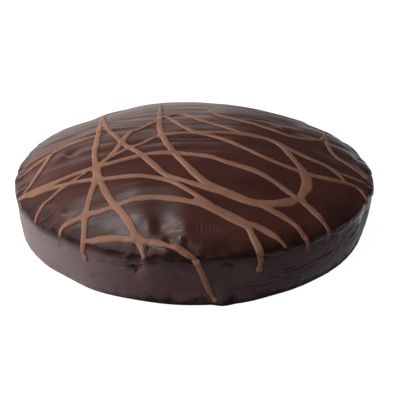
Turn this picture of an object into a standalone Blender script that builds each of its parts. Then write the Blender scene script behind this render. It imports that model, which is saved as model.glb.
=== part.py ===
"""A whole round chocolate cake under a dark glaze, with thick drizzled chocolate on it.

The cake stands on z = 0 with its middle on the z axis, and its front faces -y.
Tables of places are in millimetres on the unrolled skin: x and y as seen from above
as far as the rim, and past the rim the distance grows down the side wall.
"""

import math

import bmesh
import bpy
from mathutils import Vector

MM = 0.001

# The cake without its unevenness
RIM_RADIUS = 110.0 * MM
RIM_HEIGHT = 31.3 * MM
DOME_RISE = 28.6 * MM
DOME_FLATNESS = 2.17
DOME_EDGE = 1.10
FOOT_RADIUS = 104.5 * MM
FOOT_ROUNDING = 1.6 * MM
LIP_DROP = 3.0 * MM
LIP_UNDERCUT = 1.4 * MM
WALL_BELLY = 0.9 * MM

# How finely the body is faceted
AROUND = 90
DOME_RINGS = 11
LIP_RINGS = 2
WALL_RINGS = 6

# The rim and the foot by azimuth in degrees: (azimuth, mm outwards)
RIM_OUT = (
    (-165, -1.0), (-152, 0.3), (-120, 0.0), (-60, 0.0), (-30, 0.4), (-22, -1.4),
    (-14, 0.6), (0, -0.4), (22, -1.0), (31, 0.6), (38, -1.6), (50, -1.4), (65, 0.0),
    (115, 0.0), (124, 0.6), (131, -1.8), (139, -1.8), (147, 0.6), (155, -0.8), (175, -1.0),
)
RIM_UP = (
    (-157, 1.2), (-146, -1.0), (-136, 1.2), (-128, -0.6), (-107, -0.7), (-95, 0.6),
    (-84, 0.0), (-70, 0.8), (-50, 1.4), (-30, 1.6), (0, 1.0), (60, 0.3), (120, 0.3),
    (128, 1.2), (136, 0.0), (147, 0.9), (180, 0.4),
)
FOOT_OUT = (
    (-172, 0.8), (-160, 1.2), (-146, 0.6), (-133, -0.6), (-120, 0.8), (-108, 0.2), (-93, 1.0),
    (-85, 1.0), (-81, 3.0), (-76, 1.8), (-63, 0.0), (-48, -0.7), (-34, -0.6), (0, 0.0),
    (90, 0.0), (160, -0.4),
)

# Lumps and spatula dents in the glaze: (x, y, radius, height)
LUMPS = (
    (-79.5, -14.0, 5.0, 1.3), (-73.5, -12.0, 4.0, -1.3), (-83.0, -59.5, 4.5, 1.3),
    (-79.0, -66.0, 4.0, -0.9), (-75.0, -74.0, 5.0, 1.1), (-63.0, -83.0, 6.0, 0.9),
    (-29.0, -84.0, 9.0, 0.8), (-17.0, -91.0, 6.0, -1.5), (-3.5, -95.0, 5.0, 1.3),
    (-52.0, -62.0, 9.0, -0.7), (-33.0, -60.0, 9.0, 0.7), (22.0, -56.0, 12.0, 0.6),
    (58.0, 10.5, 5.0, -1.3), (72.0, -58.0, 10.0, 0.8), (86.0, -5.0, 9.0, -0.9),
    (-100.0, 45.0, 9.0, 1.0), (-32.0, 82.0, 26.0, 1.7), (-34.0, -113.0, 4.0, -1.8),
    (-26.0, -128.0, 6.0, 0.8), (60.0, -112.0, 9.0, -0.9),
)

# The drizzle: bead width in mm, then the places that each strand runs through
STRANDS = {
    "left_line": (3.9, (
        (-60, 64), (-58.5, 42), (-58.5, 20), (-58, -5), (-58, -22), (-55.5, -37.5),
        (-52.5, -50), (-49, -60), (-44.5, -70), (-37.5, -81), (-32, -91), (-29.5, -97),
        (-27, -102), (-25.7, -107.5),
    )),
    "left_fold": (3.7, (
        (-59, 42), (-54, 16), (-48, 0), (-43.5, -10.5), (-38, -20.5), (-31, -30), (-23, -42.5),
        (-15, -54), (-4, -60), (8, -65.5), (17, -69),
    )),
    "middle_line": (4.2, (
        (-22, 62), (-21.5, 45), (-21, 22), (-20, 0), (-15.5, -20), (-7, -40), (6, -60),
        (15.5, -66.5), (26, -71.5), (34, -74), (41, -73), (50, -69), (59.5, -64),
    )),
    "middle_low": (5.6, (
        (3, -56), (9, -63), (16, -67), (26, -71.5), (34, -74), (42, -73), (50, -70),
        (60, -64),
    )),
    "middle_fold": (3.8, (
        (-18, 25), (-24, 14), (-33, 4), (-39, -2), (-44.5, -20), (-49, -30), (-55, -39),
        (-55, -50), (-56.5, -60), (-58.5, -76), (-58.5, -90), (-62, -97), (-63.5, -101.6),
    )),
    "short_cross": (3.2, (
        (-20, -10), (-30, -17.5), (-40, -24), (-49, -32),
    )),
    "long_arc": (4.0, (
        (-19.5, -9.5), (-10, -7), (4, -6), (20, -5), (34, -5), (45, -7), (50, -10.5),
        (54, -16.5), (59.5, -28), (63.5, -38.5), (64.5, -49), (60, -63), (66, -70.5),
        (72.5, -77.5), (76, -83),
    )),
    "arc_low": (5.8, (
        (61, -31.5), (63.5, -38.5), (64.8, -46), (63.8, -54), (60.5, -62),
    )),
    "front_sweep": (3.7, (
        (-107, -42), (-97, -43), (-80, -41.5), (-70, -39.5), (-55.5, -37.5), (-45, -36),
        (-30, -33), (-15, -32), (0, -34), (10, -36.5), (20, -41.5), (35, -47.5), (45, -53.5),
        (53, -60), (60, -65),
    )),
    "front_twin": (3.3, (
        (-97, -44), (-90, -45.5), (-80, -45.5), (-60, -48), (-52.5, -50), (-30, -53.5),
        (-18, -57), (-9, -62), (5, -74), (11, -79),
    )),
    "left_branch": (3.4, (
        (-88, -66.5), (-85.5, -61), (-77, -51), (-70, -46.5), (-61, -40),
    )),
    "front_run": (4.1, (
        (-72.5, -83), (-70, -79.5), (-58.5, -76), (-50, -75.5), (-41.5, -74), (-30, -71.5),
        (-18, -71.5), (-5, -75), (10, -80), (20, -85), (28.5, -89), (32, -96),
        (35.5, -103), (38, -108), (39.2, -113.7),
    )),
    "front_low": (5.4, (
        (2, -75), (10, -79.5), (19, -84), (28, -89), (31, -93),
    )),
    "front_spur": (3.6, (
        (27, -87), (36, -90), (46, -95), (50, -98),
    )),
    "rim_run": (3.6, (
        (-58.5, -91), (-50, -93), (-40, -95), (-29, -98), (-15, -102.5), (-5, -106.5),
        (1, -110.5), (3.5, -115), (7, -122), (11.5, -131), (15.5, -136.5),
    )),
    "left_loop": (3.2, (
        (-84, 0), (-88, -10), (-91, -20), (-94, -30), (-97.5, -40),
    )),
    "left_back_arc": (3.2, (
        (-54, 6), (-66, 3), (-78, 0), (-88, -5), (-98, -12), (-109, -17),
    )),
    "left_back_spur": (2.6, (
        (-84, 1), (-95, -1), (-107, -3),
    )),
    "diagonal": (3.5, (
        (-18, 25), (-12, 14), (-6, 3), (2, -6), (10, -10), (20, -16), (30, -23.5), (40, -31),
        (50, -35.5), (65, -39.5), (78, -38.5), (87.5, -35.5), (95.5, -34.5), (99.5, -38.5),
        (102.5, -44),
    )),
    "small_loop": (3.2, (
        (-17, 23), (-12, 28), (-6, 27), (-1, 20), (4, 14), (12, 9), (21, 2), (28, -3),
    )),
    "back_run": (3.4, (
        (4, 66), (9, 42), (14, 28), (24, 21), (36, 15), (48, 9), (60, 5), (70, 7), (78, 14),
        (83, 27), (84, 42),
    )),
    "right_line": (3.2, (
        (83, 24), (83, 6), (87, -4), (95.5, -12), (102.5, -19.5),
    )),
    "right_cross": (3.2, (
        (48, -8), (57, -15), (68, -21), (79, -24), (84, -27), (89, -34),
    )),
    "right_spur": (2.8, (
        (84, -27), (93, -26), (101.5, -25.5),
    )),
    "front_lower": (3.5, (
        (35, -74.5), (42, -77), (50, -80.5), (57, -85), (62, -90.5), (65, -94.5),
    )),
}
BEAD_HEIGHT = 0.9 * MM
BEAD_STEP = 6.0 * MM
BEAD_SIDES_RESOLUTION = 1
TAPER_LENGTH = 9.0 * MM
TAPER_SHARE = 0.6

# Pools where strands meet and drops where they end: (x, y, radius)
POOLS = (
    (-55.5, -38, 3.6), (-53, -50, 2.9), (-58.5, -76, 3.2), (-42, -74, 3.0),
    (-29, -97, 3.0), (-19, 23, 2.8), (-20, -10, 2.6), (60, -64, 3.2), (64, -41, 3.0),
    (8, -77.5, 3.0), (2, -6, 2.6), (84, -27, 2.2), (-63, -100, 2.4), (39.2, -113.5, 2.4),
    (15.5, -136, 2.2),
)
POOL_HEIGHT = 0.95 * MM

GLAZE = (0.045, 0.024, 0.021)
GLAZE_ROUGHNESS = 0.33


def clear_scene():
    for old in list(bpy.data.objects):
        bpy.data.objects.remove(old, do_unlink=True)


def glaze_material():
    material = bpy.data.materials.new("dark_chocolate_glaze")
    material.use_nodes = True
    shader = material.node_tree.nodes["Principled BSDF"]
    shader.inputs["Base Color"].default_value = (*GLAZE, 1.0)
    shader.inputs["Roughness"].default_value = GLAZE_ROUGHNESS
    shader.inputs["Metallic"].default_value = 0.0
    return material


def eased(share):
    """0 to 1 with level ends."""
    share = min(1.0, max(0.0, share))
    return share * share * (3.0 - 2.0 * share)


def around(table, azimuth):
    """The table's value at an azimuth in degrees, eased between its rows, in metres."""
    first, last = table[0], table[-1]
    rows = ((last[0] - 360, last[1]), *table, (first[0] + 360, first[1]))
    for (start, low), (end, high) in zip(rows, rows[1:]):
        if start <= azimuth <= end:
            return MM * (low + (high - low) * eased((azimuth - start) / (end - start)))
    return MM * first[1]


def dome_height(radius):
    share = min(1.0, radius / RIM_RADIUS) ** DOME_FLATNESS
    return RIM_HEIGHT + DOME_RISE * (1.0 - share) ** (1.0 / DOME_EDGE)


def wall_radius(height):
    """The side wall: a lip at the rim, then a slight belly that narrows to the foot."""
    below = (RIM_HEIGHT - height) / LIP_DROP
    lip = LIP_UNDERCUT * eased(below)
    share = height / RIM_HEIGHT
    lean = (RIM_RADIUS - FOOT_RADIUS) * share ** 0.8
    belly = WALL_BELLY * math.sin(math.pi * share)
    foot = FOOT_ROUNDING * max(0.0, 1.0 - height / FOOT_ROUNDING) ** 2
    return FOOT_RADIUS + lean + belly - lip * share - foot * 0.5


def skin(x, y):
    """The even cake's surface at a place on the unrolled skin, both in metres."""
    along = math.hypot(x, y)
    if along <= RIM_RADIUS:
        return Vector((x, y, dome_height(along)))
    height = max(0.0, RIM_HEIGHT - (along - RIM_RADIUS))
    radius = wall_radius(height)
    return Vector((x * radius / along, y * radius / along, height))


def lump(x, y):
    """How far the lumps and dents push the glaze out at a place on the unrolled skin."""
    total = 0.0
    for at_x, at_y, radius, height in LUMPS:
        square = (x / MM - at_x) ** 2 + (y / MM - at_y) ** 2
        total += height * math.exp(-square / (radius * radius))
    return total * MM


def uneven(point):
    """Moves a point of the even surface to where the real cake's surface is."""
    radius = math.hypot(point.x, point.y)
    if radius < MM:
        return point.copy()
    azimuth = math.degrees(math.atan2(point.y, point.x))
    on_top = point.z >= RIM_HEIGHT
    along = radius if on_top else RIM_RADIUS + RIM_HEIGHT - point.z
    out = lump(along * point.x / radius, along * point.y / radius)
    if on_top:
        share = radius / RIM_RADIUS
        radius += around(RIM_OUT, azimuth) * share ** 9
        height = point.z + around(RIM_UP, azimuth) * share ** 7 + out
    else:
        share = point.z / RIM_HEIGHT
        foot = around(FOOT_OUT, azimuth) * (1.0 - share) ** 2
        radius += around(RIM_OUT, azimuth) * share + foot + out * share
        height = point.z + around(RIM_UP, azimuth) * share ** 2
    turn = math.radians(azimuth)
    return Vector((radius * math.cos(turn), radius * math.sin(turn), height))


def turned_body(material):
    """The cake, turned from its profile by a Screw and then made uneven."""
    profile = []
    for ring in range(DOME_RINGS):
        radius = RIM_RADIUS * math.sin(0.5 * math.pi * ring / DOME_RINGS) ** 0.9
        profile.append((radius, dome_height(radius)))
    for ring in range(LIP_RINGS):
        height = RIM_HEIGHT - LIP_DROP * ring / LIP_RINGS
        profile.append((wall_radius(height), height))
    for ring in range(WALL_RINGS + 1):
        height = (RIM_HEIGHT - LIP_DROP) * (1.0 - ring / WALL_RINGS) ** 1.2
        profile.append((wall_radius(height), height))
    profile.append((0.0, 0.0))
    mesh = bpy.data.meshes.new("profile")
    edges = [(i, i + 1) for i in range(len(profile) - 1)]
    mesh.from_pydata([(r, 0.0, z) for r, z in profile], edges, [])
    body = bpy.data.objects.new("profile", mesh)
    bpy.context.scene.collection.objects.link(body)
    screw = body.modifiers.new("turn", "SCREW")
    screw.axis = "Z"
    screw.steps = AROUND
    screw.render_steps = AROUND
    screw.use_merge_vertices = True
    screw.merge_threshold = 0.01 * MM
    screw.use_smooth_shade = False
    solid = applied(body, "chocolate_cake")
    for vertex in solid.data.vertices:
        vertex.co = uneven(vertex.co)
    solid.data.materials.clear()
    solid.data.materials.append(material)
    return solid


def applied(thing, name):
    """The evaluated thing as a plain welded mesh object, and the thing itself removed."""
    bpy.context.view_layer.update()
    graph = bpy.context.evaluated_depsgraph_get()
    mesh = bpy.data.meshes.new_from_object(thing.evaluated_get(graph))
    mesh.transform(thing.matrix_world)
    shape = bmesh.new()
    shape.from_mesh(mesh)
    bmesh.ops.remove_doubles(shape, verts=shape.verts, dist=0.01 * MM)
    bmesh.ops.recalc_face_normals(shape, faces=shape.faces)
    shape.to_mesh(mesh)
    shape.free()
    bpy.data.objects.remove(thing, do_unlink=True)
    result = bpy.data.objects.new(name, mesh)
    bpy.context.scene.collection.objects.link(result)
    return result


def spline(places):
    """Points a bead step apart on a smooth line through the places, in metres."""
    spots = [Vector(place) * MM for place in places]
    spots.insert(0, 2.0 * spots[0] - spots[1])
    spots.append(2.0 * spots[-1] - spots[-2])
    line = [spots[1]]
    for a, b, c, d in zip(spots, spots[1:], spots[2:], spots[3:]):
        steps = max(1, round((c - b).length / BEAD_STEP))
        for step in range(1, steps + 1):
            t = step / steps
            bend = (2.0 * a - 5.0 * b + 4.0 * c - d) * t * t
            twist = (3.0 * b - a - 3.0 * c + d) * t ** 3
            line.append(0.5 * (2.0 * b + (c - a) * t + bend + twist))
    return line


def normal(x, y):
    """The outward direction of the uneven surface at a place on the unrolled skin."""
    reach = 0.5 * MM
    east = uneven(skin(x + reach, y)) - uneven(skin(x - reach, y))
    north = uneven(skin(x, y + reach)) - uneven(skin(x, y - reach))
    return east.cross(north).normalized()


def strand(name, width, places, helpers):
    """One bead of drizzle, sunk in the glaze to its width, smaller towards its ends."""
    line = spline(places)
    half = 0.5 * width * MM
    thickness = (half * half + BEAD_HEIGHT * BEAD_HEIGHT) / (2.0 * BEAD_HEIGHT)
    curve = bpy.data.curves.new(name, "CURVE")
    curve.dimensions = "3D"
    curve.bevel_depth = thickness
    curve.bevel_resolution = BEAD_SIDES_RESOLUTION
    curve.use_fill_caps = True
    path = curve.splines.new("POLY")
    path.points.add(len(line) - 1)
    length = sum((b - a).length for a, b in zip(line, line[1:]))
    done = 0.0
    for index, spot in enumerate(line):
        if index:
            done += (spot - line[index - 1]).length
        near = min(done, length - done) / TAPER_LENGTH
        share = TAPER_SHARE + (1.0 - TAPER_SHARE) * eased(near)
        sunk = share * (thickness - BEAD_HEIGHT) * normal(spot.x, spot.y)
        path.points[index].co = (*(uneven(skin(spot.x, spot.y)) - sunk), 1.0)
        path.points[index].radius = share
    bead = bpy.data.objects.new(name, curve)
    helpers.objects.link(bead)
    solid = applied(bead, name)
    bpy.context.scene.collection.objects.unlink(solid)
    helpers.objects.link(solid)


def pool(index, x, y, radius, helpers):
    """A flat drop of drizzle, lying on the surface."""
    shape = bmesh.new()
    bmesh.ops.create_icosphere(shape, subdivisions=2, radius=1.0)
    mesh = bpy.data.meshes.new(f"pool_{index}")
    shape.to_mesh(mesh)
    shape.free()
    drop = bpy.data.objects.new(f"pool_{index}", mesh)
    drop.scale = (radius * MM, radius * MM, POOL_HEIGHT)
    lie = normal(x * MM, y * MM)
    drop.rotation_euler = lie.to_track_quat("Z", "Y").to_euler()
    drop.location = uneven(skin(x * MM, y * MM))
    helpers.objects.link(drop)


def fuse(body, helpers):
    """Joins every helper to the body, and keeps only its one outer shell."""
    join = body.modifiers.new("fuse_drizzle", "BOOLEAN")
    join.operation = "UNION"
    join.operand_type = "COLLECTION"
    join.collection = helpers
    join.solver = "EXACT"
    join.use_self = True
    bpy.context.view_layer.update()
    graph = bpy.context.evaluated_depsgraph_get()
    mesh = bpy.data.meshes.new_from_object(body.evaluated_get(graph))
    body.modifiers.clear()
    body.data = mesh
    for helper in list(helpers.objects):
        bpy.data.objects.remove(helper, do_unlink=True)
    bpy.data.collections.remove(helpers)


def shell_of(start):
    """The faces that hang together with one face."""
    found = {start}
    edge_of_search = [start]
    while edge_of_search:
        face = edge_of_search.pop()
        for edge in face.edges:
            for other in edge.link_faces:
                if other not in found:
                    found.add(other)
                    edge_of_search.append(other)
    return found


def keep_outer_shell(body):
    """Drops loose scraps and sealed hollows: the shell with the most faces stays."""
    shape = bmesh.new()
    shape.from_mesh(body.data)
    bmesh.ops.triangulate(shape, faces=shape.faces)
    left = set(shape.faces)
    shells = []
    while left:
        shell = shell_of(next(iter(left)))
        left -= shell
        shells.append(shell)
    outer = max(shells, key=len)
    scraps = [face for face in shape.faces if face not in outer]
    bmesh.ops.delete(shape, geom=scraps, context="FACES")
    shape.to_mesh(body.data)
    shape.free()


def build():
    clear_scene()
    material = glaze_material()
    body = turned_body(material)
    helpers = bpy.data.collections.new("drizzle")
    bpy.context.scene.collection.children.link(helpers)
    for name, (width, places) in STRANDS.items():
        strand(name, width, places, helpers)
    for index, (x, y, radius) in enumerate(POOLS):
        pool(index, x, y, radius, helpers)
    fuse(body, helpers)
    keep_outer_shell(body)
    home = bpy.data.collections.new("cake")
    bpy.context.scene.collection.children.link(home)
    bpy.context.scene.collection.objects.unlink(body)
    home.objects.link(body)


build()
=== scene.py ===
"""The looks of the chocolate cake: its glaze and its drizzle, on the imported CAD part.

Lengths in the tables are millimetres, and every mesh is made in metres. The skin of the
cake is laid out flat as a disc: x and y as seen from above as far as the rim, and past
the rim the distance from the middle grows down the side wall.
"""

import math

import bpy
import numpy as np
from mathutils import Matrix, Vector


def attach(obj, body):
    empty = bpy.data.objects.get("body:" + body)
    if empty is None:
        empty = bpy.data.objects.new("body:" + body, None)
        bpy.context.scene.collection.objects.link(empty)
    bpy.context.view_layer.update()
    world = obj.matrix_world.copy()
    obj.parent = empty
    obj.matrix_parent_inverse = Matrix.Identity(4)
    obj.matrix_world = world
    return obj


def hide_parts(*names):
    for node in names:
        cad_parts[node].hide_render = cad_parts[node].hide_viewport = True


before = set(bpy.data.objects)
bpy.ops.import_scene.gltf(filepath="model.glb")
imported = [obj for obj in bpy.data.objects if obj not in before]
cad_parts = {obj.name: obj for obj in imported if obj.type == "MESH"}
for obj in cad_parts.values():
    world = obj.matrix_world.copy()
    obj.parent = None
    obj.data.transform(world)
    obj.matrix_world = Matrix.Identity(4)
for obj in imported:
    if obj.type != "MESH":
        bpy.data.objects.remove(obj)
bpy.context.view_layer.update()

MM = 0.001

# The cake without its unevenness, as in the CAD part
RIM_RADIUS = 110.0
RIM_HEIGHT = 31.3
DOME_RISE = 28.6
DOME_FLATNESS = 2.17
DOME_EDGE = 1.10
FOOT_RADIUS = 104.5
FOOT_ROUNDING = 1.6
WALL_BELLY = 0.9
SKIN_END = RIM_RADIUS + RIM_HEIGHT
RIM_SOFTNESS_SIDES = 1.2
RIM_SOFTNESS_FRONT = 2.3
FRONT_START = 0.62
FRONT_SPAN = 0.28
RIM_BLEND = 2.0
RIM_OUT_POWER = 9
RIM_UP_POWER = 7

RIM_OUT = (
    (-165, -1.0), (-152, 0.3), (-120, 0.0), (-60, 0.0), (-30, 0.4), (-22, -1.4),
    (-14, 0.6), (0, -0.4), (22, -1.0), (31, 0.6), (38, -1.6), (50, -1.4), (65, 0.0),
    (115, 0.0), (124, 0.6), (131, -1.8), (139, -1.8), (147, 0.6), (155, -0.8), (175, -1.0),
)
RIM_UP = (
    (-157, 1.2), (-146, -1.0), (-136, 1.2), (-128, -0.6), (-107, -0.7), (-95, 0.6),
    (-84, 0.0), (-70, 0.8), (-50, 1.4), (-30, 1.6), (0, 1.0), (60, 0.3), (120, 0.3),
    (128, 1.2), (136, 0.0), (147, 0.9), (180, 0.4),
)
FOOT_OUT = (
    (-172, 0.8), (-160, 1.2), (-146, 0.6), (-133, -0.6), (-120, 0.8), (-108, 0.2), (-93, 1.0),
    (-85, 1.0), (-81, 3.0), (-76, 1.8), (-63, 0.0), (-48, -0.7), (-34, -0.6), (0, 0.0),
    (90, 0.0), (160, -0.4),
)
LUMPS = (
    (-79.5, -14.0, 5.0, 1.3), (-73.5, -12.0, 4.0, -1.3), (-83.0, -59.5, 4.5, 1.3),
    (-79.0, -66.0, 4.0, -0.9), (-75.0, -74.0, 5.0, 1.1), (-63.0, -83.0, 6.0, 0.9),
    (-29.0, -84.0, 9.0, 0.8), (-17.0, -91.0, 6.0, -1.5), (-3.5, -95.0, 5.0, 1.3),
    (-52.0, -62.0, 9.0, -0.7), (-33.0, -60.0, 9.0, 0.7), (22.0, -56.0, 12.0, 0.6),
    (58.0, 10.5, 5.0, -1.3), (72.0, -58.0, 10.0, 0.8), (86.0, -5.0, 9.0, -0.9),
    (-100.0, 45.0, 9.0, 1.0), (-32.0, 82.0, 26.0, 1.7), (-34.0, -113.0, 4.0, -1.8),
    (-26.0, -128.0, 6.0, 0.8), (60.0, -112.0, 9.0, -0.9),
)

# Where the poured glaze ends on the wall: the height of its edge and how thick it is
SKIRT_EDGE = (
    (-180, 26.5), (-165, 25.0), (-150, 23.5), (-138, 22.5), (-126, 24.0), (-116, 25.4),
    (-108, 23.0), (-101, 26.5), (-84, 28.0), (-72, 27.6), (-50, 28.0), (-20, 27.5), (0, 27.5),
    (60, 26.0), (120, 25.0),
)
SKIRT_STEP = (
    (-180, 0.5), (-165, 0.6), (-150, 0.5), (-126, 0.5), (-112, 1.0), (-104, 1.4), (-92, 2.2),
    (-80, 2.0), (-66, 1.4), (-50, 0.9), (-36, 0.7), (-27, 1.7), (-18, 1.6), (-8, 0.8),
    (90, 0.6), (150, 0.5),
)
SKIRT_GROOVE = (
    (-180, 0.0), (-126, 0.0), (-114, 0.5), (-106, 0.4), (-98, 0.0), (90, 0.0),
)
SKIRT_SHARPNESS = 1.3
SKIRT_WANDER = ((1.3, 6.0, 6), (0.7, 2.3, 2))
SKIRT_SHARE = 0.75
SKIRT_UNEVENNESS = 0.45
GROOVE_DROP = 0.7
GROOVE_REACH = 0.5

# Small humps and hollows of the poured glaze: place, reach in x and in y, and height
HUMPS = (
    (-22.5, -91.5, 3.2, 4.6, 0.7), (-12.0, -98.8, 3.0, 2.6, -1.0), (-6.0, -101.3, 2.2, 2.0, 0.9),
    (-41.0, -99.5, 9.0, 2.6, 0.9), (-35.2, -106.5, 2.2, 2.2, 1.0),
    (-14.0, -106.5, 6.0, 2.6, 0.9), (8.0, -103.0, 8.0, 2.6, 0.5), (19.0, -103.5, 5.0, 2.4, -0.4),
    (30.0, -101.0, 9.0, 3.6, 0.3), (52.0, 14.0, 4.0, 4.0, 0.7), (-96.0, -49.0, 3.0, 3.0, 0.9),
    (-91.0, -58.0, 2.4, 2.4, -0.9), (-103.0, -36.0, 3.0, 3.0, 0.8),
    (-25.0, -110.5, 2.4, 3.0, 0.8), (-14.8, -108.5, 2.6, 2.4, 0.7), (10.5, -109.0, 3.0, 2.0, 0.5),
)
PITS = (
    (-29.5, -109.5, 2.2, 2.0, -1.4), (-34.3, -113.0, 1.5, 1.3, -2.3),
    (-31.8, -114.5, 1.6, 1.4, -2.5), (-29.6, -113.6, 1.2, 1.5, -2.0),
    (-33.2, -116.0, 1.1, 1.0, -1.8), (18.5, -112.5, 3.4, 1.1, -1.3),
    (22.5, -113.8, 2.2, 0.9, -1.1),
    (-9.5, -110.8, 3.6, 1.3, -1.5), (1.5, -110.8, 6.0, 1.2, -1.4), (-19.5, -111.5, 2.4, 2.2, -1.4),
    (-22.6, -103.5, 1.1, 2.6, -0.9), (37.0, -106.0, 6.0, 1.1, -1.1), (52.0, -99.0, 4.0, 1.1, -0.8),
)

# The drizzle, as in the CAD part
STRANDS = {
    "left_line": (3.9, (
        (-60, 64), (-58.5, 42), (-58.5, 20), (-58, -5), (-58, -22), (-55.5, -37.5),
        (-52.5, -50), (-49, -60), (-44.5, -70), (-37.5, -81), (-32, -91), (-29.5, -97),
        (-27, -102), (-25.7, -107.5),
    )),
    "left_fold": (3.7, (
        (-59, 42), (-54, 16), (-48, 0), (-43.5, -10.5), (-38, -20.5), (-31, -30), (-23, -42.5),
        (-15, -54), (-4, -60), (8, -65.5), (17, -69),
    )),
    "middle_line": (4.2, (
        (-22, 62), (-21.5, 45), (-21, 22), (-20, 0), (-15.5, -20), (-7, -40), (6, -60),
        (15.5, -66.5), (26, -71.5), (34, -74), (41, -73), (50, -69), (59.5, -64),
    )),
    "middle_low": (5.6, (
        (3, -56), (9, -63), (16, -67), (26, -71.5), (34, -74), (42, -73), (50, -70),
        (60, -64),
    )),
    "middle_fold": (3.8, (
        (-18, 25), (-24, 14), (-33, 4), (-39, -2), (-44.5, -20), (-49, -30), (-55, -39),
        (-55, -50), (-56.5, -60), (-58.5, -76), (-58.5, -90), (-62, -97), (-63.5, -101.6),
    )),
    "short_cross": (3.2, (
        (-20, -10), (-30, -17.5), (-40, -24), (-49, -32),
    )),
    "long_arc": (4.0, (
        (-19.5, -9.5), (-10, -7), (4, -6), (20, -5), (34, -5), (45, -7), (50, -10.5),
        (54, -16.5), (59.5, -28), (63.5, -38.5), (64.5, -49), (60, -63), (66, -70.5),
        (72.5, -77.5), (76, -83),
    )),
    "arc_low": (5.8, (
        (61, -31.5), (63.5, -38.5), (64.8, -46), (63.8, -54), (60.5, -62),
    )),
    "front_sweep": (3.7, (
        (-102.5, -42.5), (-96, -43), (-80, -41.5), (-70, -39.5), (-55.5, -37.5), (-45, -36),
        (-30, -33), (-15, -32), (0, -34), (10, -36.5), (20, -41.5), (35, -47.5), (45, -53.5),
        (53, -60), (60, -65),
    )),
    "front_twin": (3.3, (
        (-97, -44), (-90, -45.5), (-80, -45.5), (-60, -48), (-52.5, -50), (-30, -53.5),
        (-18, -57), (-9, -62), (5, -74), (11, -79),
    )),
    "left_branch": (3.4, (
        (-88, -66.5), (-85.5, -61), (-77, -51), (-70, -46.5), (-61, -40),
    )),
    "front_run": (4.1, (
        (-72.5, -83), (-70, -79.5), (-58.5, -76), (-50, -75.5), (-41.5, -74), (-30, -71.5),
        (-18, -71.5), (-5, -75), (10, -80), (20, -85), (28.5, -89), (32, -96),
        (35.5, -103), (38, -108), (39.2, -113.7),
    )),
    "front_low": (5.4, (
        (2, -75), (10, -79.5), (19, -84), (28, -89), (31, -93),
    )),
    "front_spur": (3.6, (
        (27, -87), (36, -90), (46, -95), (50, -98),
    )),
    "rim_run": (3.6, (
        (-58.5, -91), (-50, -93), (-40, -95), (-29, -98), (-15, -102.5), (-5, -106.5),
        (1, -110.5), (3.5, -115), (7, -122), (11.5, -131), (15.5, -136.5),
    )),
    "left_loop": (3.2, (
        (-84, 0), (-88, -10), (-91, -20), (-94, -30), (-97.5, -40),
    )),
    "left_back_arc": (3.2, (
        (-54, 6), (-66, 3), (-78, 0), (-88, -5), (-98, -11.5), (-105.5, -15.5),
    )),
    "left_back_spur": (2.6, (
        (-84, 1), (-95, -1), (-104, -2.5),
    )),
    "diagonal": (3.5, (
        (-18, 25), (-12, 14), (-6, 3), (2, -6), (10, -10), (20, -16), (30, -23.5), (40, -31),
        (50, -35.5), (65, -39.5), (78, -38.5), (87.5, -35.5), (95.5, -34.5), (99.5, -38.5),
        (102.5, -44),
    )),
    "small_loop": (3.2, (
        (-17, 23), (-12, 28), (-6, 27), (-1, 20), (4, 14), (12, 9), (21, 2), (28, -3),
    )),
    "back_run": (3.4, (
        (4, 66), (9, 42), (14, 28), (24, 21), (36, 15), (48, 9), (60, 5), (70, 7), (78, 14),
        (83, 27), (84, 42),
    )),
    "right_line": (3.2, (
        (83, 24), (83, 6), (87, -4), (95.5, -12), (102.5, -19.5),
    )),
    "right_cross": (3.2, (
        (48, -8), (57, -15), (68, -21), (79, -24), (84, -27), (89, -34),
    )),
    "right_spur": (2.8, (
        (84, -27), (93, -26), (101.5, -25.5),
    )),
    "front_lower": (3.5, (
        (35, -74.5), (42, -77), (50, -80.5), (57, -85), (62, -90.5), (65, -94.5),
    )),
}
POOLS = (
    (-55.5, -38, 3.6), (-53, -50, 2.9), (-58.5, -76, 3.2), (-42, -74, 3.0),
    (-29, -97, 3.0), (-19, 23, 2.8), (-20, -10, 2.6), (60, -64, 3.2), (64, -41, 3.0),
    (8, -77.5, 3.0), (2, -6, 2.6), (84, -27, 2.2), (-63, -100, 2.4), (39.2, -113.5, 2.4),
    (15.5, -136, 2.2),
)
BEAD_HEIGHT = 0.6
BEAD_ROUNDNESS = 0.65
BEAD_UNEVENNESS = 0.05
CROSSING_RISE = 0.15
TAPER_LENGTH = 9.0
TAPER_SHARE = 0.6
FAR_THINNING = 0.3
WIDTH_CHANGE = 0.18
POOL_SHARE = 0.6
WEB_SHARPNESS = 2.6
WEB_REACH = 2.3
FAR_AWAY = 9.0
DRIZZLE_CELL = 0.34
DRIZZLE_SINK = 0.12

# Mesh fineness of the glaze
TOP_RINGS = 152
RING_CROWDING = 0.035
SIDE_AROUND = 1100
SIDE_ROWS = 72
TOP_END = RIM_RADIUS + 6.0
TOP_OVERLAP = 0.8
TUCK = 0.25

# Fine relief of the top: heights and depths of what the spatula and the pour left
STROKE_HEIGHT = 0.26
FINE_STROKE_HEIGHT = 0.06
WAVE_HEIGHT = 0.45
SCALLOP_HEIGHT = 0.9
SMALL_SCALLOP_HEIGHT = 0.35
SCALLOP_DROP = 0.35
SCALLOP_START = 97.0
CALM_PLACE = (-40.0, -80.0)
CALM_REACH = (22.0, 20.0)
CALM_SHARE = 0.85
CALM_RIM_AZIMUTH = -75.0
SUNK_PLACE = (-48.0, 78.0)
SUNK_REACH = 24.0
SUNK_DEPTH = 1.0

# The mark that a spatula left near the front
SCRAPE_MIDDLE = (2.0, -93.0)
SCRAPE_HALF = (12.5, 3.6)
SCRAPE_TURN = -0.06
SCRAPE_DEPTH = 0.2
CHATTER_HEIGHT = 0.11
CHATTER_PITCH = 2.3
RIDGE_HEIGHT = 0.26
RIDGE_REACH = 0.7

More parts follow.
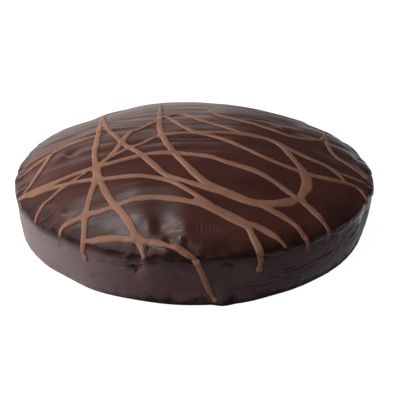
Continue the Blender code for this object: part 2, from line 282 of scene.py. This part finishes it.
# Fine relief of the wall
WALL_STROKE_HEIGHT = 0.07
FINE_WALL_STROKE_HEIGHT = 0.04
WALL_INSET = 0.24
WALL_WAVE_HEIGHT = 0.30
NICK_DEPTH = 0.6
CRUMPLE_HEIGHT = 0.27
RAGGED_START = 6.5
RAGGED_HEIGHTS = (0.9, 0.7)
RAGGED_INSET = 0.3
FLARE_OUT = 1.1
DRAWN_IN = 1.3

# Glaze colours, darker and lighter: poured over the top, and spread on the wall. Then how fine
# their mottling is along x, y and z, and the painted sheen of the lit wall at the front left.
POURED_TONES = (0.0098, 0.0034, 0.0025), (0.0265, 0.0092, 0.0069)
SPREAD_TONES = (0.011, 0.0055, 0.0058), (0.036, 0.0180, 0.0192)
POURED_MOTTLING = (11.0, 70.0, 30.0)
SPREAD_MOTTLING = (45.0, 45.0, 110.0)
# Painted sheen: a pale tone standing in for the light from the left shining on the wall
SHEEN_PAINTED_TONE = (0.060, 0.0455, 0.0445)

# How the glaze changes over the cake: start and end of each change in metres, and the
# value it has before the start and after the end
EDGE_WANDER = 0.006
EDGE_HANGS_RIGHT = (0.088, 0.100, 0.0, 0.005)
WALL_BELOW = (0.027, 0.034, 1.0, 0.0)
# Painted shade: the poured glaze darkened low on the rim, where shade falls under it
PAINTED_RIM_SHADE = (0.032, 0.043, 0.36, 1.0)
# Painted sheen: where the wall takes the pale tone, towards the lit left and the front
SHEEN_TO_THE_LEFT = (-0.105, -0.010, 0.85, 0.0)
SHEEN_IN_FRONT = (-0.030, 0.022, 1.0, 0.0)
# Darker at the foot: partly a ragged dark glaze edge, partly painted shade where the wall meets
# the floor, less of it on the lit left
DARK_FOOT = (0.0098, 0.0160, 0.17, 1.0)
FOOT_RAGGEDNESS = 0.017
FOOT_LOWER_LEFT = 0.013
ROUGH_FAR = (-0.05, 0.06, 0.0, 0.12)
ROUGH_LEFT = (-0.088, -0.050, 0.12, 0.0)
TOP_ROUGHNESS = 0.53
WALL_ROUGHNESS = 0.77
SMOOTHER_ABOVE_FOOT = -0.35
STROKE_ROUGHNESS = 0.14
TOP_STROKES = (14.0, 150.0, 40.0)
WALL_STROKES = (20.0, 20.0, 300.0)
GLAZE_SPECULAR = 0.055

# Drizzle colours, darker and lighter, and the tone it thins to at the back
DRIZZLE_TONES = (0.0480, 0.0210, 0.0120), (0.0900, 0.0425, 0.0275)
THINNED_TONE = (0.036, 0.019, 0.014)
THINNED_BEHIND = (0.0, 0.055, 0.0, 0.42)
DRIZZLE_ROUGHNESS = 0.50
DRIZZLE_SPECULAR = 0.06

# The floor and the lights. Each light has its azimuth and elevation in degrees, size in
# metres, power in watts, colour, and whether the glaze mirrors it.
FLOOR_HALF = 6.0
FLOOR_DROP = 0.0002
FLOOR_GREY = 0.10
FLOOR_GLOW = 0.97
WHITE = (1.0, 1.0, 1.0)
ROOM_COLOR = (1.0, 0.91, 0.88)
ROOM_STRENGTH = 0.135
LIGHT_DISTANCE = 1.4
LIGHT_AIM_HEIGHT = 0.03
LIGHTS = (
    ("low_left", 180.0, 8.0, (2.0, 0.36), 88.0, WHITE, False),
    ("glint", 180.0, 13.0, (0.5, 0.3), 6.5, WHITE, True),
    ("high_left", 193.0, 58.0, (1.9, 1.45), 62.0, WHITE, True),
    ("window", 153.0, 66.0, (0.26, 0.34), 9.5, (0.80, 0.92, 1.0), True),
    ("backdrop", 114.0, 11.0, (1.5, 0.8), 5.6, (1.0, 0.89, 0.86), True),
)

# The camera, from the outline of the cake in the photo
CAMERA_ELEVATION = 25.9
CAMERA_DISTANCE = 650.0
CAMERA_TARGET = (3.9, 0.0, 12.2)
CAMERA_ROLL = 0.2
CAMERA_FOCUS = 1043.0 / 400.0
SENSOR = 36.0


# Noise on a wrapped lattice, the same on every run
LATTICE = 256
lattices = [
    np.random.default_rng(100 + index).random((LATTICE, LATTICE)) * 2.0 - 1.0
    for index in range(8)
]


def noise(x, y, seed):
    """Smooth noise between -1 and 1 with one lump in each unit of x and y."""
    table = lattices[seed]
    cell_x, cell_y = np.floor(x), np.floor(y)
    part_x, part_y = x - cell_x, y - cell_y
    part_x = part_x ** 3 * (part_x * (6.0 * part_x - 15.0) + 10.0)
    part_y = part_y ** 3 * (part_y * (6.0 * part_y - 15.0) + 10.0)
    left = cell_x.astype(int) % LATTICE
    low = cell_y.astype(int) % LATTICE
    right, high = (left + 1) % LATTICE, (low + 1) % LATTICE
    bottom = table[left, low] * (1.0 - part_x) + table[right, low] * part_x
    top = table[left, high] * (1.0 - part_x) + table[right, high] * part_x
    return bottom * (1.0 - part_y) + top * part_y


def eased(share):
    share = np.clip(share, 0.0, 1.0)
    return share * share * (3.0 - 2.0 * share)


def around(table, azimuth):
    """The table's values at azimuths in degrees, eased between its rows."""
    rows = [(table[-1][0] - 360, table[-1][1]), *table, (table[0][0] + 360, table[0][1])]
    places = np.array([row[0] for row in rows], float)
    values = np.array([row[1] for row in rows], float)
    after = np.clip(np.searchsorted(places, azimuth), 1, len(rows) - 1)
    start, end = places[after - 1], places[after]
    share = eased((azimuth - start) / (end - start))
    return values[after - 1] + (values[after] - values[after - 1]) * share


def dome_height(radius):
    share = np.clip(radius / RIM_RADIUS, 0.0, 1.0) ** DOME_FLATNESS
    return RIM_HEIGHT + DOME_RISE * (1.0 - share) ** (1.0 / DOME_EDGE)


def wall_radius(height):
    share = height / RIM_HEIGHT
    lean = (RIM_RADIUS - FOOT_RADIUS) * share ** 0.8
    belly = WALL_BELLY * np.sin(math.pi * share)
    foot = FOOT_ROUNDING * np.clip(1.0 - height / FOOT_ROUNDING, 0.0, None) ** 2
    return FOOT_RADIUS + lean + belly - foot * 0.5


def make_profile(softness):
    """Radius and height along the skin, with the rim softened to a rounded edge."""
    step = 0.1
    along = np.arange(0.0, SKIN_END + step / 2, step)
    height = np.where(
        along <= RIM_RADIUS, dome_height(along), np.clip(SKIN_END - along, 0.0, None)
    )
    radius = np.where(along <= RIM_RADIUS, along, wall_radius(np.minimum(height, RIM_HEIGHT)))
    reach = int(4.0 * softness / step)
    kernel = np.exp(-0.5 * (np.arange(-reach, reach + 1) * step / softness) ** 2)
    kernel /= kernel.sum()
    near = np.exp(-(((along - RIM_RADIUS) / (5.0 * softness)) ** 4))
    result = []
    for values in (radius, height):
        padded = np.pad(values, reach, mode="edge")
        soft = np.convolve(padded, kernel, mode="valid")
        result.append(values * (1.0 - near) + soft * near)
    return along, result[0], result[1]


PROFILE_SIDES = make_profile(RIM_SOFTNESS_SIDES)
PROFILE_FRONT = make_profile(RIM_SOFTNESS_FRONT)


def lump(x, y):
    """The humps and hollows at places on the flat skin."""
    total = np.zeros_like(x)
    for at_x, at_y, radius, height in LUMPS:
        square = (x - at_x) ** 2 + (y - at_y) ** 2
        total += height * np.exp(-square / (radius * radius))
    for at_x, at_y, reach_x, reach_y, height in HUMPS + PITS:
        square = ((x - at_x) / reach_x) ** 2 + ((y - at_y) / reach_y) ** 2
        total += height * np.exp(-square)
    return total


def skin(x, y, extra=None):
    """Points of the cake's surface at places on the flat skin, with extra relief."""
    along = np.hypot(x, y)
    turn = np.arctan2(y, x)
    azimuth = np.degrees(turn)
    front = eased((-np.sin(turn) - FRONT_START) / FRONT_SPAN)
    radius = np.interp(along, PROFILE_SIDES[0], PROFILE_SIDES[1]) * (1.0 - front)
    radius += np.interp(along, PROFILE_FRONT[0], PROFILE_FRONT[1]) * front
    height = np.interp(along, PROFILE_SIDES[0], PROFILE_SIDES[2]) * (1.0 - front)
    height += np.interp(along, PROFILE_FRONT[0], PROFILE_FRONT[2]) * front
    out = lump(x, y)
    if extra is not None:
        out = out + extra
    on_top = eased((RIM_RADIUS + RIM_BLEND - along) / (2.0 * RIM_BLEND))
    share_top = np.clip(along / RIM_RADIUS, 0.0, 1.0)
    share_wall = np.clip((SKIN_END - along) / RIM_HEIGHT, 0.0, 1.0)
    rim_out = around(RIM_OUT, azimuth)
    rim_up = around(RIM_UP, azimuth)
    foot = around(FOOT_OUT, azimuth) * (1.0 - share_wall) ** 2
    edge = around(SKIRT_EDGE, azimuth)
    for height_of_wave, pitch, seed in SKIRT_WANDER:
        edge += height_of_wave * noise(azimuth / pitch, azimuth * 0.0, seed)
    below = eased((edge - (SKIN_END - along)) / SKIRT_SHARPNESS + 0.5)
    step = around(SKIRT_STEP, azimuth) * below * share_wall ** 0.6
    step *= SKIRT_SHARE + SKIRT_UNEVENNESS * noise(azimuth / 8.0, azimuth * 0.0, 3)
    groove = np.exp(-(((SKIN_END - along - edge + GROOVE_DROP) / GROOVE_REACH) ** 2))
    step += around(SKIRT_GROOVE, azimuth) * groove
    radius_top = radius + rim_out * share_top ** RIM_OUT_POWER
    height_top = height + rim_up * share_top ** RIM_UP_POWER + out
    radius_wall = radius + rim_out * share_wall + foot + out * share_wall ** 0.5 - step
    height_wall = height + rim_up * share_wall ** 2
    radius = radius_top * on_top + radius_wall * (1.0 - on_top)
    height = height_top * on_top + height_wall * (1.0 - on_top)
    height = np.maximum(height, 0.0)
    return np.stack([radius * np.cos(turn), radius * np.sin(turn), height], -1)


def normals(x, y):
    reach = 0.6
    east = skin(x + reach, y) - skin(x - reach, y)
    north = skin(x, y + reach) - skin(x, y - reach)
    out = np.cross(east, north)
    return out / np.linalg.norm(out, axis=-1, keepdims=True)


def scrape(x, y):
    """The mark that a spatula left near the front, with the thin ridge along its edge."""
    middle = SCRAPE_MIDDLE[1] + SCRAPE_TURN * x
    share = ((x - SCRAPE_MIDDLE[0]) / SCRAPE_HALF[0]) ** 2
    half = SCRAPE_HALF[1] * np.sqrt(np.clip(1.0 - share, 0.0, None))
    inside = eased((half - np.abs(y - middle)) / 1.2)
    phase = x * (2.0 * math.pi / CHATTER_PITCH) + 1.5 * noise(x / 6.0, y / 5.0, 4)
    chatter = CHATTER_HEIGHT * np.sin(phase)
    chatter *= eased((x + 3.0) / 7.0) * eased((15.0 - x) / 6.0)
    ridge_y = -98.0 + 5.0 * eased((x - 12.0) / 12.0)
    ridge = eased((x + 4.0) / 6.0) * eased((25.0 - x) / 2.0)
    ridge = RIDGE_HEIGHT * ridge * np.exp(-(((y - ridge_y) / RIDGE_REACH) ** 2))
    return inside * (chatter - SCRAPE_DEPTH) + ridge


def top_relief(x, y):
    """Spatula strokes across the top, slow waves in the poured glaze, and its uneven edge."""
    along = np.hypot(x, y)
    azimuth = np.degrees(np.arctan2(y, x))
    bend = 5.0 * noise(x / 70.0, y / 50.0, 1)
    strokes = STROKE_HEIGHT * noise(x / 30.0 + 3.0, (y + bend) / 5.4, 0)
    strokes += FINE_STROKE_HEIGHT * noise(x / 16.0, (y + bend) / 2.6 + 9.0, 2)
    strength = 0.45 + 0.55 * eased((y + 75.0) / 60.0)
    waves = WAVE_HEIGHT * noise(x / 19.0 + 7.0, y / 15.0, 3)
    calm_x = (x - CALM_PLACE[0]) / CALM_REACH[0]
    calm_y = (y - CALM_PLACE[1]) / CALM_REACH[1]
    calm = np.exp(-(calm_x ** 2) - calm_y ** 2)
    fade = eased((RIM_RADIUS + 1.0 - along) / 10.0) * (1.0 - CALM_SHARE * calm)
    scallops = SCALLOP_HEIGHT * noise(azimuth / 5.6, along / 9.0, 4)
    scallops += SMALL_SCALLOP_HEIGHT * noise(azimuth / 2.3, along / 5.0, 5)
    scallops *= 1.0 - 0.8 * np.exp(-(((azimuth - CALM_RIM_AZIMUTH) / 8.0) ** 2))
    scallops = (scallops - SCALLOP_DROP) * eased((along - SCALLOP_START) / 9.0)
    sunk_x = (x - SUNK_PLACE[0]) / SUNK_REACH
    sunk_y = (y - SUNK_PLACE[1]) / SUNK_REACH
    sunk = SUNK_DEPTH * np.exp(-(sunk_x ** 2) - sunk_y ** 2)
    return strokes * strength + waves * fade + scallops + scrape(x, y) - sunk


def side_relief(x, y):
    """Level strokes round the wall, nicks and small crumples in it, and a ragged foot."""
    along = np.hypot(x, y)
    turn = np.arctan2(y, x)
    arc = turn * FOOT_RADIUS
    azimuth = np.degrees(turn)
    down = along - RIM_RADIUS
    strokes = WALL_STROKE_HEIGHT * noise(arc / 70.0, down / 2.7, 5)
    strokes += FINE_WALL_STROKE_HEIGHT * noise(arc / 25.0, down / 1.2, 6)
    waves = WALL_WAVE_HEIGHT * noise(arc / 24.0 + 5.0, down / 16.0, 7)
    rare = eased((noise(arc / 19.0 + 3.0, down / 7.0, 2) - 0.02) / 0.3)
    nicks = rare * eased((noise(arc / 7.0, down / 1.1, 1) - 0.38) / 0.2)
    crumple = eased((noise(arc / 16.0 + 2.0, down / 14.0, 0) - 0.25) / 0.3)
    crumple = crumple * noise(arc / 3.1, down / 2.1, 4)
    low = eased((down - RIM_HEIGHT + RAGGED_START) / 4.0)
    ragged = RAGGED_HEIGHTS[0] * noise(arc / 4.1, down / 2.6, 3)
    ragged += RAGGED_HEIGHTS[1] * noise(arc / 9.0, down / 6.0, 6) - RAGGED_INSET
    flare = FLARE_OUT * eased((azimuth + 78.0) / 20.0) * eased((20.0 - azimuth) / 20.0)
    flare *= eased((down - RIM_HEIGHT + 4.5) / 4.5)
    drawn_in = DRAWN_IN * eased((azimuth + 168.0) / 16.0) * eased((-116.0 - azimuth) / 14.0)
    drawn_in *= eased((down - 6.0) / 12.0)
    rough = strokes + waves - NICK_DEPTH * nicks + CRUMPLE_HEIGHT * crumple + low * ragged
    return rough + flare - drawn_in - WALL_INSET


def relief(x, y):
    """The fine relief of the whole glaze, the top's running over into the wall's."""
    share = eased((np.hypot(x, y) - RIM_RADIUS + 1.0) / 6.0)
    return top_relief(x, y) * (1.0 - share) + side_relief(x, y) * share


def mesh_object(name, points, faces):
    """A smooth object from points in millimetres and faces, each a row of point numbers."""
    sizes = np.array([len(face) for face in faces])
    loops = np.concatenate(faces)
    starts = np.concatenate([[0], np.cumsum(sizes)[:-1]])
    mesh = bpy.data.meshes.new(name)
    mesh.vertices.add(len(points))
    mesh.vertices.foreach_set("co", (points * MM).astype(np.float32).ravel())
    mesh.loops.add(len(loops))
    mesh.loops.foreach_set("vertex_index", loops.astype(np.int32))
    mesh.polygons.add(len(sizes))
    mesh.polygons.foreach_set("loop_start", starts.astype(np.int32))
    mesh.polygons.foreach_set("use_smooth", np.ones(len(sizes), bool))
    mesh.update(calc_edges=True)
    mesh.validate()
    thing = bpy.data.objects.new(name, mesh)
    bpy.context.scene.collection.objects.link(thing)
    return thing


def ring_mesh(rings, end):
    """A disc of rings, where ring k has 8 k points: places on the skin, and triangles."""
    share = np.arange(rings + 1) / rings
    along = end * (share + RING_CROWDING * np.sin(math.pi * share) * share)
    xs, ys = [np.zeros(1)], [np.zeros(1)]
    starts = [0]
    count = 1
    for ring in range(1, rings + 1):
        turn = np.arange(8 * ring) * (2.0 * math.pi / (8 * ring)) - math.pi
        xs.append(along[ring] * np.cos(turn))
        ys.append(along[ring] * np.sin(turn))
        starts.append(count)
        count += 8 * ring
    faces = []
    for ring in range(rings):
        inner, outer = starts[ring], starts[ring + 1]
        for sector in range(8):
            index = np.arange(ring + 1)
            out_a = outer + (sector * (ring + 1) + index) % (8 * (ring + 1))
            out_b = outer + (sector * (ring + 1) + index + 1) % (8 * (ring + 1))
            if ring == 0:
                in_a = np.zeros(1, int)
            else:
                in_a = inner + (sector * ring + index) % (8 * ring)
            faces.append(np.stack([in_a, out_a, out_b], 1))
            if ring:
                index = np.arange(ring)
                in_b = inner + (sector * ring + index + 1) % (8 * ring)
                faces.append(np.stack([in_a[:-1], out_b[:-1], in_b], 1))
    return np.concatenate(xs), np.concatenate(ys), np.concatenate(faces)


def make_top():
    x, y, faces = ring_mesh(TOP_RINGS, TOP_END)
    tucked = TUCK * eased((np.hypot(x, y) - TOP_END + TOP_OVERLAP) / TOP_OVERLAP)
    points = skin(x, y, relief(x, y) - tucked)
    return mesh_object("glaze_top", points, faces)


def make_side():
    turn = np.arange(SIDE_AROUND) * (2.0 * math.pi / SIDE_AROUND) - math.pi
    along = np.linspace(TOP_END - TOP_OVERLAP, SKIN_END, SIDE_ROWS + 1)
    grid_turn, grid_along = np.meshgrid(turn, along)
    x, y = grid_along * np.cos(grid_turn), grid_along * np.sin(grid_turn)
    points = skin(x, y, relief(x, y)).reshape(-1, 3)
    row = np.arange(SIDE_AROUND)
    following = (row + 1) % SIDE_AROUND
    faces = []
    for line in range(SIDE_ROWS):
        upper, lower = line * SIDE_AROUND, (line + 1) * SIDE_AROUND
        corners = upper + row, lower + row, lower + following, upper + following
        faces.append(np.stack(corners, 1))
    faces = list(np.concatenate(faces))
    faces.append(np.arange(SIDE_AROUND)[::-1] + SIDE_ROWS * SIDE_AROUND)
    return mesh_object("glaze_side", points, faces)


def spline(places, step):
    """Points a step apart on a smooth line through the places."""
    spots = [np.array(place, float) for place in places]
    spots.insert(0, 2.0 * spots[0] - spots[1])
    spots.append(2.0 * spots[-1] - spots[-2])
    line = [spots[1]]
    for a, b, c, d in zip(spots, spots[1:], spots[2:], spots[3:]):
        steps = max(1, round(float(np.linalg.norm(c - b)) / step))
        for index in range(1, steps + 1):
            t = index / steps
            bend = (2.0 * a - 5.0 * b + 4.0 * c - d) * t * t
            twist = (3.0 * b - a - 3.0 * c + d) * t ** 3
            line.append(0.5 * (2.0 * b + (c - a) * t + bend + twist))
    return np.array(line)


def drizzle_field():
    """For every cell corner of the flat skin, how far inside the drizzle it is: 1 on a
    strand's middle line and 0 at its edge, with crossings webbed."""
    half_count = int(SKIN_END / DRIZZLE_CELL) + 2
    ticks = np.arange(-half_count, half_count + 1) * DRIZZLE_CELL
    size = len(ticks)
    webbed = np.zeros((size, size))
    for width, places in STRANDS.values():
        near = np.full((size, size), FAR_AWAY)
        line = spline(places, 1.2)
        lengths = np.linalg.norm(np.diff(line, axis=0), axis=1)
        done = np.concatenate([[0.0], np.cumsum(lengths)])
        ends = np.minimum(done, done[-1] - done) / TAPER_LENGTH
        half = 0.5 * width * (TAPER_SHARE + (1.0 - TAPER_SHARE) * eased(ends))
        half *= 1.0 + WIDTH_CHANGE * noise(done / 7.0, np.full_like(done, width * 31.7), 2)
        half *= 1.0 - FAR_THINNING * eased((line[:, 1] + 20.0) / 80.0)
        for a, b, wide_a, wide_b in zip(line, line[1:], half, half[1:]):
            margin = WEB_REACH * max(wide_a, wide_b)
            low = np.floor((np.minimum(a, b) - margin) / DRIZZLE_CELL).astype(int) + half_count
            high = np.ceil((np.maximum(a, b) + margin) / DRIZZLE_CELL).astype(int) + half_count
            low, high = np.clip(low, 0, size - 1), np.clip(high, 0, size - 1)
            part_x, part_y = np.meshgrid(
                ticks[low[0]:high[0] + 1], ticks[low[1]:high[1] + 1], indexing="ij"
            )
            way = b - a
            share = ((part_x - a[0]) * way[0] + (part_y - a[1]) * way[1]) / (way @ way)
            share = np.clip(share, 0.0, 1.0)
            gap_x = part_x - a[0] - share * way[0]
            gap_y = part_y - a[1] - share * way[1]
            wide = wide_a + (wide_b - wide_a) * share
            found = (gap_x ** 2 + gap_y ** 2) / wide ** 2
            window = (slice(low[0], high[0] + 1), slice(low[1], high[1] + 1))
            near[window] = np.minimum(near[window], found)
        webbed += np.where(near < FAR_AWAY, np.exp(-WEB_SHARPNESS * near), 0.0)
    for at_x, at_y, radius in POOLS:
        part_x, part_y = np.meshgrid(ticks, ticks, indexing="ij")
        found = ((part_x - at_x) ** 2 + (part_y - at_y) ** 2) / radius ** 2
        webbed += np.exp(-WEB_SHARPNESS * np.minimum(found, 20.0)) * POOL_SHARE
    field = 1.0 + np.log(np.maximum(webbed, 1e-9)) / WEB_SHARPNESS
    return ticks, field


def make_drizzle():
    ticks, field = drizzle_field()
    size = len(ticks)
    inside = field > 0.0
    cells = inside[:-1, :-1] | inside[1:, :-1] | inside[:-1, 1:] | inside[1:, 1:]
    used = np.zeros((size, size), bool)
    for shift_x in (0, 1):
        for shift_y in (0, 1):
            used[shift_x:size - 1 + shift_x, shift_y:size - 1 + shift_y] |= cells
    index = np.full((size, size), -1)
    index[used] = np.arange(used.sum())
    grid_x, grid_y = np.meshgrid(ticks, ticks, indexing="ij")
    x, y, value = grid_x[used], grid_y[used], field[used]
    slope_x, slope_y = np.gradient(field, DRIZZLE_CELL)
    slope_x, slope_y = slope_x[used], slope_y[used]
    steep = np.maximum(slope_x ** 2 + slope_y ** 2, 0.05)
    outside = value <= 0.0
    move_x = np.where(outside, -value * slope_x / steep, 0.0)
    move_y = np.where(outside, -value * slope_y / steep, 0.0)
    size_of_move = np.maximum(np.hypot(move_x, move_y) / (1.2 * DRIZZLE_CELL), 1.0)
    x, y = x + move_x / size_of_move, y + move_y / size_of_move
    flat = 1.0 - np.clip(1.0 - value, 0.0, 1.0) ** 2
    rise = BEAD_HEIGHT * (flat ** BEAD_ROUNDNESS + CROSSING_RISE * np.clip(value, 0.0, 1.3))
    rise += BEAD_UNEVENNESS * np.clip(value, 0.0, 1.0) * noise(x / 2.6, y / 2.6, 1)
    rise = np.where(outside, -DRIZZLE_SINK, rise)
    points = skin(x, y, relief(x, y)) + normals(x, y) * rise[:, None]
    at = np.argwhere(cells)
    faces = np.stack([
        index[at[:, 0], at[:, 1]], index[at[:, 0] + 1, at[:, 1]],
        index[at[:, 0] + 1, at[:, 1] + 1], index[at[:, 0], at[:, 1] + 1],
    ], 1)
    return mesh_object("drizzle", points, faces)


def nodes_of(name):
    material = bpy.data.materials.new(name)
    material.use_nodes = True
    tree = material.node_tree
    return material, tree, tree.nodes["Principled BSDF"]


def add(tree, kind, settings, values):
    """A node with its settings, and for each input a constant or a link to a socket."""
    node = tree.nodes.new(kind)
    for key, value in settings.items():
        setattr(node, key, value)
    for key, value in values.items():
        if isinstance(value, bpy.types.NodeSocket):
            tree.links.new(value, node.inputs[key])
        else:
            node.inputs[key].default_value = value
    return node


def coordinates(tree):
    """Object coordinates, then their x, y and z."""
    place = add(tree, "ShaderNodeTexCoord", {}, {}).outputs["Object"]
    parts = add(tree, "ShaderNodeSeparateXYZ", {}, {"Vector": place})
    return place, parts.outputs["X"], parts.outputs["Y"], parts.outputs["Z"]


def stretched(tree, place, scale):
    """The coordinates scaled by three factors."""
    return add(tree, "ShaderNodeMapping", {}, {"Vector": place, "Scale": scale}).outputs["Vector"]


def noisy(tree, place, scale, detail, roughness=0.5):
    values = {"Vector": place, "Scale": scale, "Detail": detail, "Roughness": roughness}
    return add(tree, "ShaderNodeTexNoise", {}, values).outputs["Fac"]


def changed(tree, value, change, interpolation="SMOOTHSTEP"):
    """The value taken through a change: its start and end, and what it gives at each."""
    values = dict(zip(("From Min", "From Max", "To Min", "To Max"), change), Value=value)
    settings = {"interpolation_type": interpolation}
    return add(tree, "ShaderNodeMapRange", settings, values).outputs["Result"]


def computed(tree, operation, *values):
    settings = {"operation": operation}
    return add(tree, "ShaderNodeMath", settings, dict(enumerate(values))).outputs[0]


def mixed(tree, share, first, second, blend="MIX"):
    """Two colours mixed, each a socket or its red, green and blue."""
    colors = [(*color, 1.0) if isinstance(color, tuple) else color for color in (first, second)]
    settings = {"data_type": "RGBA", "blend_type": blend}
    values = {0: share, 6: colors[0], 7: colors[1]}
    return add(tree, "ShaderNodeMix", settings, values).outputs[2]


def bumped(tree, height, strength, distance, values):
    values = {"Height": height, "Strength": strength, "Distance": distance, **values}
    return add(tree, "ShaderNodeBump", {}, values).outputs["Normal"]


def glaze_material():
    """Poured and glossy above, thinly spread and duller on the wall."""
    material, tree, shader = nodes_of("chocolate_glaze")
    link = tree.links.new
    place, east, north, up = coordinates(tree)

    lowered = computed(tree, "ADD", up, changed(tree, east, EDGE_HANGS_RIGHT))
    drift = computed(tree, "MULTIPLY_ADD", noisy(tree, place, 60.0, 2.0), EDGE_WANDER, lowered)
    wall = changed(tree, drift, WALL_BELOW)
    poured, spread = [
        mixed(tree, noisy(tree, stretched(tree, place, mottling), 1.0, 3.0), *tones)
        for tones, mottling in ((POURED_TONES, POURED_MOTTLING), (SPREAD_TONES, SPREAD_MOTTLING))
    ]
    # Painted shade: the poured glaze darkened low on the rim, for the shade under the rim
    rim_shade = changed(tree, drift, PAINTED_RIM_SHADE)
    shaded_poured = mixed(tree, 1.0, poured, rim_shade, "MULTIPLY")
    # Painted sheen: the wall made paler towards the lit left front
    pale = changed(tree, east, SHEEN_TO_THE_LEFT)
    paler = computed(tree, "MULTIPLY", pale, changed(tree, north, SHEEN_IN_FRONT))
    spread_with_sheen = mixed(tree, paler, spread, SHEEN_PAINTED_TONE)
    both = mixed(tree, wall, shaded_poured, spread_with_sheen)
    # The dark foot band, raised less on the lit left: partly a ragged dark glaze edge, partly
    # painted shade at the floor
    lower = computed(tree, "MULTIPLY_ADD", pale, FOOT_LOWER_LEFT, up)
    foot_band_noise = noisy(tree, place, 130.0, 3.0)
    ragged = computed(tree, "MULTIPLY_ADD", foot_band_noise, FOOT_RAGGEDNESS, lower)
    foot = changed(tree, ragged, DARK_FOOT)
    link(mixed(tree, 1.0, both, foot, "MULTIPLY"), shader.inputs["Base Color"])

    across = noisy(tree, stretched(tree, place, TOP_STROKES), 1.0, 4.0, 0.55)
    level = noisy(tree, stretched(tree, place, WALL_STROKES), 1.0, 4.0, 0.55)
    settings = {"data_type": "FLOAT"}
    strokes = add(tree, "ShaderNodeMix", settings, {0: wall, 2: across, 3: level}).outputs[0]
    dull = changed(tree, wall, (0.0, 1.0, TOP_ROUGHNESS, WALL_ROUGHNESS), "LINEAR")
    far, left = changed(tree, north, ROUGH_FAR), changed(tree, east, ROUGH_LEFT)
    duller = computed(tree, "ADD", dull, computed(tree, "MAXIMUM", far, left))
    smoother = computed(tree, "MULTIPLY_ADD", foot, SMOOTHER_ABOVE_FOOT, duller)
    rough = computed(tree, "MULTIPLY_ADD", strokes, STROKE_ROUGHNESS, smoother)
    link(rough, shader.inputs["Roughness"])

    drawn = bumped(tree, strokes, 0.35, 0.0006, {})
    grain = noisy(tree, place, 900.0, 2.0)
    link(bumped(tree, grain, 0.05, 0.0002, {"Normal": drawn}), shader.inputs["Normal"])
    shader.inputs["Specular IOR Level"].default_value = GLAZE_SPECULAR
    return material


def drizzle_material():
    """Milk chocolate with a satin surface, thinner and darker towards the back."""
    material, tree, shader = nodes_of("milk_chocolate_drizzle")
    link = tree.links.new
    place, _, north, _ = coordinates(tree)
    tone = mixed(tree, noisy(tree, place, 70.0, 3.0), *DRIZZLE_TONES)
    thinned = mixed(tree, changed(tree, north, THINNED_BEHIND), tone, THINNED_TONE)
    link(thinned, shader.inputs["Base Color"])
    grain = noisy(tree, place, 700.0, 2.0)
    link(bumped(tree, grain, 0.12, 0.0002, {}), shader.inputs["Normal"])
    shader.inputs["Roughness"].default_value = DRIZZLE_ROUGHNESS
    shader.inputs["Specular IOR Level"].default_value = DRIZZLE_SPECULAR
    return material


def make_floor():
    half = FLOOR_HALF
    corners = [(-half, -half, 0), (half, -half, 0), (half, half, 0), (-half, half, 0)]
    mesh = bpy.data.meshes.new("floor")
    mesh.from_pydata(corners, [], [(0, 1, 2, 3)])
    floor = bpy.data.objects.new("floor", mesh)
    bpy.context.scene.collection.objects.link(floor)
    floor.location.z = -FLOOR_DROP
    material, _, shader = nodes_of("pale_floor")
    shader.inputs["Base Color"].default_value = (FLOOR_GREY, FLOOR_GREY, FLOOR_GREY, 1.0)
    shader.inputs["Roughness"].default_value = 0.9
    shader.inputs["Specular IOR Level"].default_value = 0.0
    shader.inputs["Emission Color"].default_value = (*WHITE, 1.0)
    shader.inputs["Emission Strength"].default_value = FLOOR_GLOW
    floor.data.materials.append(material)


def area_light(name, azimuth, elevation, size, power, color, mirrored):
    """A soft light at LIGHT_DISTANCE, in degrees round the cake and above the table."""
    turn, rise = math.radians(azimuth), math.radians(elevation)
    way = Vector((
        math.cos(turn) * math.cos(rise), math.sin(turn) * math.cos(rise), math.sin(rise)
    ))
    data = bpy.data.lights.new(name, "AREA")
    data.shape = "RECTANGLE"
    data.size, data.size_y = size
    data.energy = power
    data.color = color
    lamp = bpy.data.objects.new(name, data)
    bpy.context.scene.collection.objects.link(lamp)
    lamp.location = way * LIGHT_DISTANCE + Vector((0.0, 0.0, LIGHT_AIM_HEIGHT))
    lamp.rotation_mode = "QUATERNION"
    lamp.rotation_quaternion = way.to_track_quat("Z", "Y")
    lamp.visible_glossy = mirrored


def make_lights():
    world = bpy.data.worlds.new("studio")
    bpy.context.scene.world = world
    world.use_nodes = True
    background = world.node_tree.nodes["Background"]
    background.inputs["Color"].default_value = (*ROOM_COLOR, 1.0)
    background.inputs["Strength"].default_value = ROOM_STRENGTH
    for light in LIGHTS:
        area_light(*light)


def make_camera():
    rise, roll = math.radians(CAMERA_ELEVATION), math.radians(CAMERA_ROLL)
    back = Vector((0.0, -math.cos(rise), math.sin(rise)))
    level = Vector((1.0, 0.0, 0.0))
    up = Vector((0.0, math.sin(rise), math.cos(rise)))
    right = math.cos(roll) * level + math.sin(roll) * up
    upper = math.cos(roll) * up - math.sin(roll) * level
    data = bpy.data.cameras.new("camera")
    data.sensor_width = SENSOR
    data.lens = CAMERA_FOCUS * SENSOR
    camera = bpy.data.objects.new("camera", data)
    bpy.context.scene.collection.objects.link(camera)
    place = (Vector(CAMERA_TARGET) + back * CAMERA_DISTANCE) * MM
    turn = Matrix((right, upper, back)).transposed().to_4x4()
    camera.matrix_world = Matrix.Translation(place) @ turn
    bpy.context.scene.camera = camera


top = make_top()
side = make_side()
drizzle = make_drizzle()
glaze = glaze_material()
top.data.materials.append(glaze)
side.data.materials.append(glaze)
drizzle.data.materials.append(drizzle_material())
for piece in (top, side, drizzle):
    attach(piece, "root")
    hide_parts("chocolate_cake")
make_floor()
make_lights()
make_camera()
bpy.context.scene.view_settings.view_transform = "Standard"
